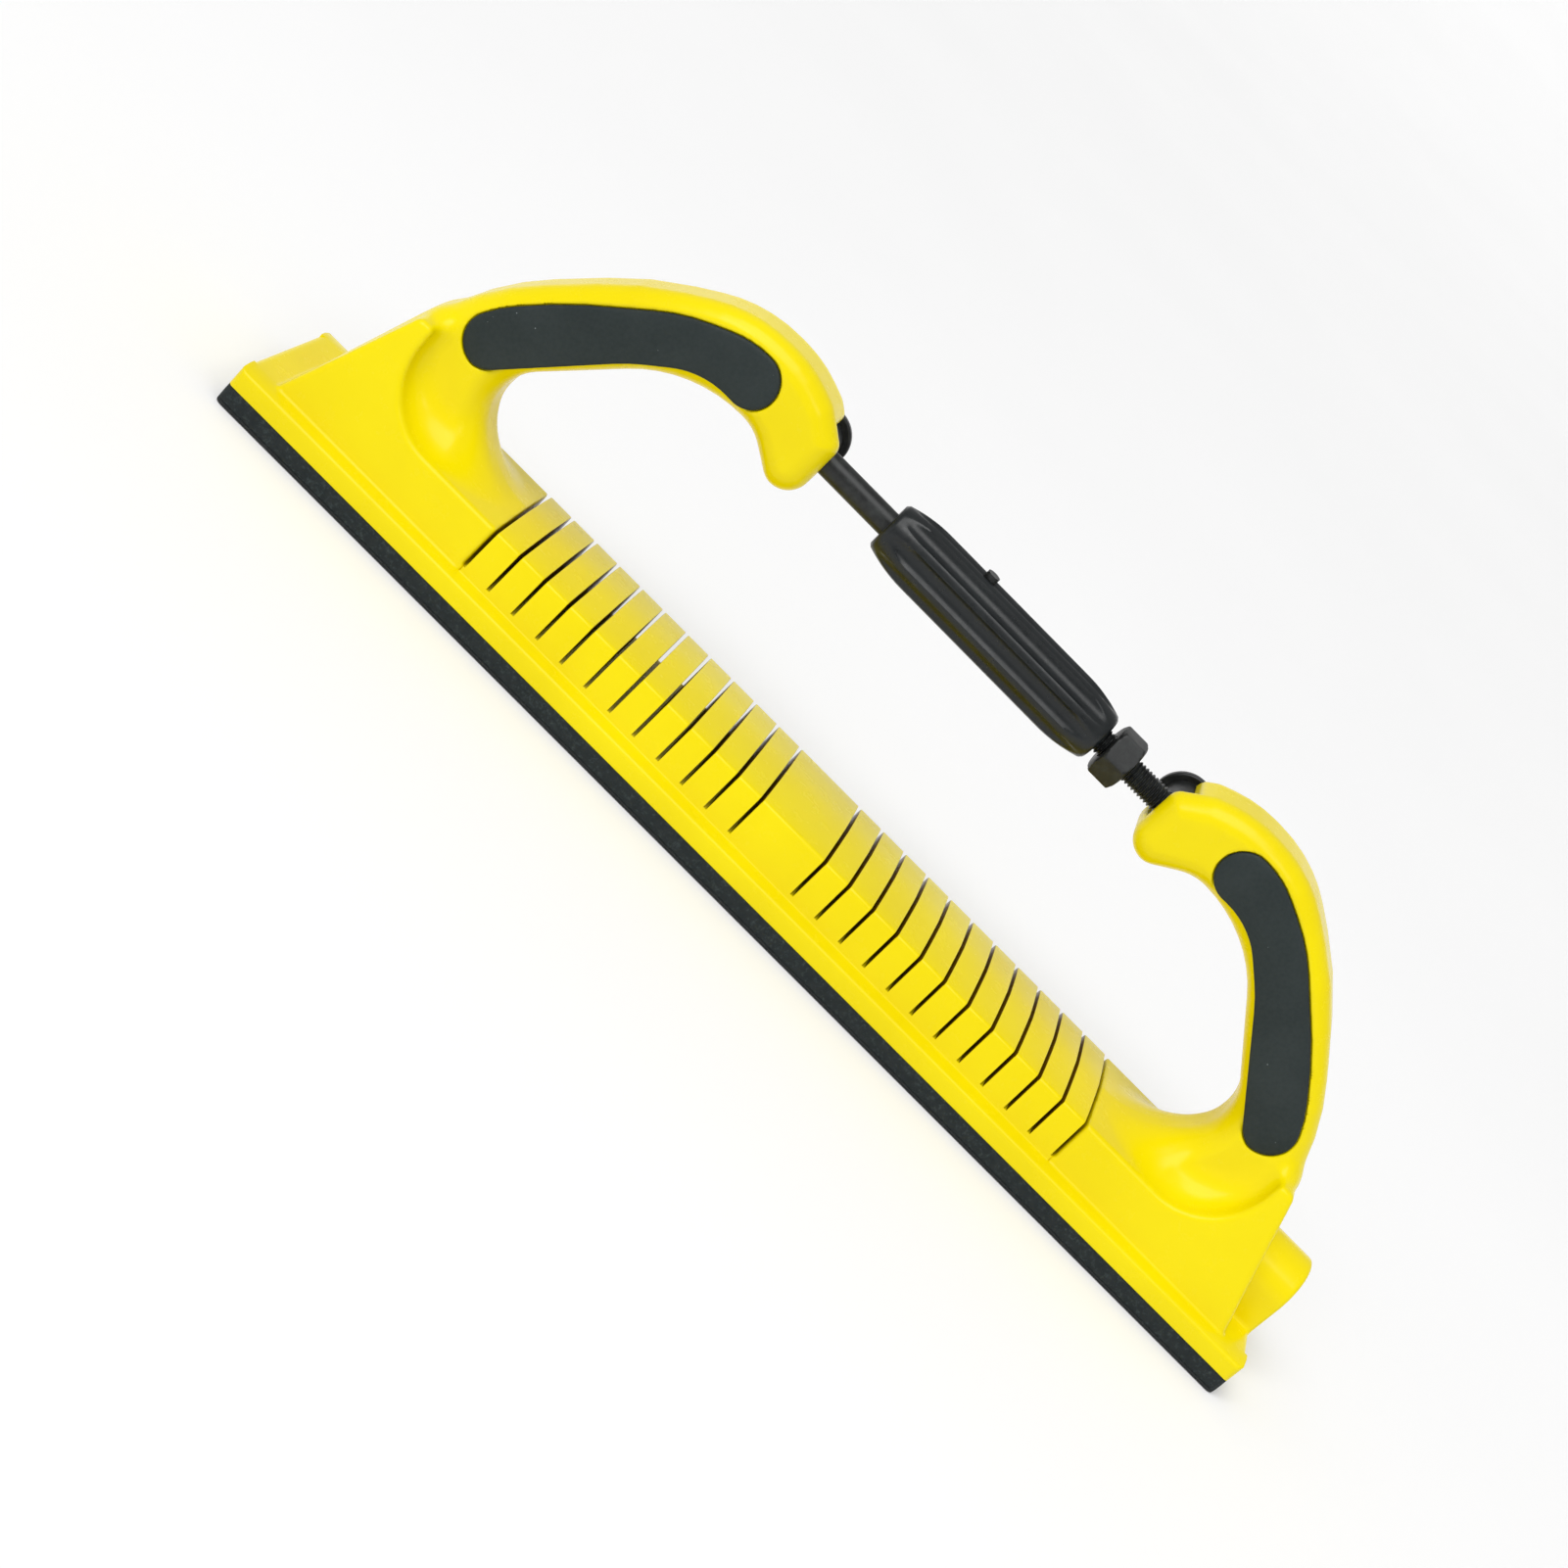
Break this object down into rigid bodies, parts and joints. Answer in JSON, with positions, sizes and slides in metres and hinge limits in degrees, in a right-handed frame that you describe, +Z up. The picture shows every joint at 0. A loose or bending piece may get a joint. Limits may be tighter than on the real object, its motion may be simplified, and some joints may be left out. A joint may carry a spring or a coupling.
{
  "type": "flexible long-board hand sander",
  "caption": "Long flexible hand sanding board with two hooked end handles, a screw adjuster between their tips, a soft pad and a dust outlet at one end.",
  "frame": {"origin": "middle of the sanding face, under the centre block", "axes": "+X along the board towards the end with the dust outlet, +Y across the board towards the side with the pivot heads, +Z up from the sanding face"},
  "size_m": [0.4, 0.07, 0.1218],
  "materials": {
    "body": "semi-gloss moulded plastic",
    "pad": "closed-cell foam, speckled",
    "grip": "fine matt soft grip",
    "rod": "black oxide steel",
    "nut": "black oxide steel",
    "barrel": "black oxide steel",
    "sleeve": "satin moulded plastic"
  },
  "bodies": {
    "centre": {"centre_block": "body", "pad_centre": "pad"},
    "right_rib_01": {"right_rib_01": "body", "pad_right_01": "pad"},
    "right_rib_02": {"right_rib_02": "body", "pad_right_02": "pad"},
    "right_rib_03": {"right_rib_03": "body", "pad_right_03": "pad"},
    "right_rib_04": {"right_rib_04": "body", "pad_right_04": "pad"},
    "right_rib_05": {"right_rib_05": "body", "pad_right_05": "pad"},
    "right_rib_06": {"right_rib_06": "body", "pad_right_06": "pad"},
    "right_rib_07": {"right_rib_07": "body", "pad_right_07": "pad"},
    "right_rib_08": {"right_rib_08": "body", "pad_right_08": "pad"},
    "right_rib_09": {"right_rib_09": "body", "pad_right_09": "pad"},
    "right_rib_10": {"right_rib_10": "body", "pad_right_10": "pad"},
    "right_rib_11": {"right_rib_11": "body", "pad_right_11": "pad"},
    "right_end": {"right_end_block": "body", "pad_right_end": "pad", "right_grips": "grip"},
    "left_rib_01": {"left_rib_01": "body", "pad_left_01": "pad"},
    "left_rib_02": {"left_rib_02": "body", "pad_left_02": "pad"},
    "left_rib_03": {"left_rib_03": "body", "pad_left_03": "pad"},
    "left_rib_04": {"left_rib_04": "body", "pad_left_04": "pad"},
    "left_rib_05": {"left_rib_05": "body", "pad_left_05": "pad"},
    "left_rib_06": {"left_rib_06": "body", "pad_left_06": "pad"},
    "left_rib_07": {"left_rib_07": "body", "pad_left_07": "pad"},
    "left_rib_08": {"left_rib_08": "body", "pad_left_08": "pad"},
    "left_rib_09": {"left_rib_09": "body", "pad_left_09": "pad"},
    "left_rib_10": {"left_rib_10": "body", "pad_left_10": "pad"},
    "left_rib_11": {"left_rib_11": "body", "pad_left_11": "pad"},
    "left_end": {"left_end_block": "body", "pad_left_end": "pad", "left_grips": "grip"},
    "right_rod": {"right_rod": "rod", "right_pivot_barrel": "barrel"},
    "left_rod": {"left_rod": "rod", "left_pivot_barrel": "barrel"},
    "sleeve": {"adjuster_sleeve": "sleeve", "swivel_pin": "rod"},
    "lock_nut": {"lock_nut": "nut"}
  },
  "joints": [
    {"name": "right_flex_01", "type": "hinge", "parent": "centre", "child": "right_rib_01", "pos_m": [0.0126, 0, 0.0114], "axis": [0, 1, 0], "range_deg": [-0.285, 0.363]},
    {"name": "right_flex_02", "type": "hinge", "parent": "centre", "child": "right_rib_02", "pos_m": [0.0174, 0, 0.0114], "axis": [0, 1, 0], "range_deg": [-0.57, 0.72]},
    {"name": "right_flex_03", "type": "hinge", "parent": "centre", "child": "right_rib_03", "pos_m": [0.0222, 0, 0.0114], "axis": [0, 1, 0], "range_deg": [-0.85, 1.09]},
    {"name": "right_flex_04", "type": "hinge", "parent": "centre", "child": "right_rib_04", "pos_m": [0.027, 0, 0.0114], "axis": [0, 1, 0], "range_deg": [-1.14, 1.45]},
    {"name": "right_flex_05", "type": "hinge", "parent": "centre", "child": "right_rib_05", "pos_m": [0.0318, 0, 0.0114], "axis": [0, 1, 0], "range_deg": [-1.42, 1.81]},
    {"name": "right_flex_06", "type": "hinge", "parent": "centre", "child": "right_rib_06", "pos_m": [0.0366, 0, 0.0114], "axis": [0, 1, 0], "range_deg": [-1.71, 2.17]},
    {"name": "right_flex_07", "type": "hinge", "parent": "centre", "child": "right_rib_07", "pos_m": [0.0414, 0, 0.0114], "axis": [0, 1, 0], "range_deg": [-1.99, 2.54]},
    {"name": "right_flex_08", "type": "hinge", "parent": "centre", "child": "right_rib_08", "pos_m": [0.0462, 0, 0.0114], "axis": [0, 1, 0], "range_deg": [-2.28, 2.9]},
    {"name": "right_flex_09", "type": "hinge", "parent": "centre", "child": "right_rib_09", "pos_m": [0.051, 0, 0.0114], "axis": [0, 1, 0], "range_deg": [-2.56, 3.26]},
    {"name": "right_flex_10", "type": "hinge", "parent": "centre", "child": "right_rib_10", "pos_m": [0.0558, 0, 0.0114], "axis": [0, 1, 0], "range_deg": [-2.85, 3.63]},
    {"name": "right_flex_11", "type": "hinge", "parent": "centre", "child": "right_rib_11", "pos_m": [0.0606, 0, 0.0114], "axis": [0, 1, 0], "range_deg": [-3.13, 3.99]},
    {"name": "right_flex_12", "type": "hinge", "parent": "centre", "child": "right_end", "pos_m": [0.0654, 0, 0.0114], "axis": [0, 1, 0], "range_deg": [-3.42, 4.35]},
    {"name": "left_flex_01", "type": "hinge", "parent": "centre", "child": "left_rib_01", "pos_m": [-0.0126, 0, 0.0114], "axis": [0, -1, 0], "range_deg": [-0.285, 0.363]},
    {"name": "left_flex_02", "type": "hinge", "parent": "centre", "child": "left_rib_02", "pos_m": [-0.0174, 0, 0.0114], "axis": [0, -1, 0], "range_deg": [-0.57, 0.72]},
    {"name": "left_flex_03", "type": "hinge", "parent": "centre", "child": "left_rib_03", "pos_m": [-0.0222, 0, 0.0114], "axis": [0, -1, 0], "range_deg": [-0.85, 1.09]},
    {"name": "left_flex_04", "type": "hinge", "parent": "centre", "child": "left_rib_04", "pos_m": [-0.027, 0, 0.0114], "axis": [0, -1, 0], "range_deg": [-1.14, 1.45]},
    {"name": "left_flex_05", "type": "hinge", "parent": "centre", "child": "left_rib_05", "pos_m": [-0.0318, 0, 0.0114], "axis": [0, -1, 0], "range_deg": [-1.42, 1.81]},
    {"name": "left_flex_06", "type": "hinge", "parent": "centre", "child": "left_rib_06", "pos_m": [-0.0366, 0, 0.0114], "axis": [0, -1, 0], "range_deg": [-1.71, 2.17]},
    {"name": "left_flex_07", "type": "hinge", "parent": "centre", "child": "left_rib_07", "pos_m": [-0.0414, 0, 0.0114], "axis": [0, -1, 0], "range_deg": [-1.99, 2.54]},
    {"name": "left_flex_08", "type": "hinge", "parent": "centre", "child": "left_rib_08", "pos_m": [-0.0462, 0, 0.0114], "axis": [0, -1, 0], "range_deg": [-2.28, 2.9]},
    {"name": "left_flex_09", "type": "hinge", "parent": "centre", "child": "left_rib_09", "pos_m": [-0.051, 0, 0.0114], "axis": [0, -1, 0], "range_deg": [-2.56, 3.26]},
    {"name": "left_flex_10", "type": "hinge", "parent": "centre", "child": "left_rib_10", "pos_m": [-0.0558, 0, 0.0114], "axis": [0, -1, 0], "range_deg": [-2.85, 3.63]},
    {"name": "left_flex_11", "type": "hinge", "parent": "centre", "child": "left_rib_11", "pos_m": [-0.0606, 0, 0.0114], "axis": [0, -1, 0], "range_deg": [-3.13, 3.99]},
    {"name": "left_flex_12", "type": "hinge", "parent": "centre", "child": "left_end", "pos_m": [-0.0654, 0, 0.0114], "axis": [0, -1, 0], "range_deg": [-3.42, 4.35]},
    {"name": "right_tip_pivot", "type": "hinge", "parent": "right_end", "child": "right_rod", "pos_m": [0.074, 0, 0.1036], "axis": [0, 1, 0], "range_deg": [-4.36, 3.43]},
    {"name": "left_tip_pivot", "type": "hinge", "parent": "left_end", "child": "left_rod", "pos_m": [-0.074, 0, 0.1036], "axis": [0, -1, 0], "range_deg": [-4.36, 3.43]},
    {"name": "sleeve_spin", "type": "hinge", "parent": "left_rod", "child": "sleeve", "pos_m": [0, 0, 0.1036], "axis": [1, 0, 0], "continuous": true},
    {"name": "lock_nut_travel", "type": "slide", "parent": "right_rod", "child": "lock_nut", "axis": [1, 0, 0], "range_m": [-0.0142, 0.0112]}
  ],
  "couplings": [
    {"joint": "right_flex_01", "follows": "right_flex_12", "ratio": 0.083333},
    {"joint": "right_flex_02", "follows": "right_flex_12", "ratio": 0.16667},
    {"joint": "right_flex_03", "follows": "right_flex_12", "ratio": 0.25},
    {"joint": "right_flex_04", "follows": "right_flex_12", "ratio": 0.33333},
    {"joint": "right_flex_05", "follows": "right_flex_12", "ratio": 0.41667},
    {"joint": "right_flex_06", "follows": "right_flex_12", "ratio": 0.5},
    {"joint": "right_flex_07", "follows": "right_flex_12", "ratio": 0.58333},
    {"joint": "right_flex_08", "follows": "right_flex_12", "ratio": 0.66667},
    {"joint": "right_flex_09", "follows": "right_flex_12", "ratio": 0.75},
    {"joint": "right_flex_10", "follows": "right_flex_12", "ratio": 0.83333},
    {"joint": "right_flex_11", "follows": "right_flex_12", "ratio": 0.91667},
    {"joint": "left_flex_01", "follows": "right_flex_12", "ratio": 0.083333},
    {"joint": "left_flex_02", "follows": "right_flex_12", "ratio": 0.16667},
    {"joint": "left_flex_03", "follows": "right_flex_12", "ratio": 0.25},
    {"joint": "left_flex_04", "follows": "right_flex_12", "ratio": 0.33333},
    {"joint": "left_flex_05", "follows": "right_flex_12", "ratio": 0.41667},
    {"joint": "left_flex_06", "follows": "right_flex_12", "ratio": 0.5},
    {"joint": "left_flex_07", "follows": "right_flex_12", "ratio": 0.58333},
    {"joint": "left_flex_08", "follows": "right_flex_12", "ratio": 0.66667},
    {"joint": "left_flex_09", "follows": "right_flex_12", "ratio": 0.75},
    {"joint": "left_flex_10", "follows": "right_flex_12", "ratio": 0.83333},
    {"joint": "left_flex_11", "follows": "right_flex_12", "ratio": 0.91667},
    {"joint": "left_flex_12", "follows": "right_flex_12", "ratio": 1},
    {"joint": "right_tip_pivot", "follows": "right_flex_12", "ratio": -1},
    {"joint": "left_tip_pivot", "follows": "right_flex_12", "ratio": -1},
    {"joint": "lock_nut_travel", "follows": "right_flex_12", "m_per_rad": -0.1844}
  ]
}
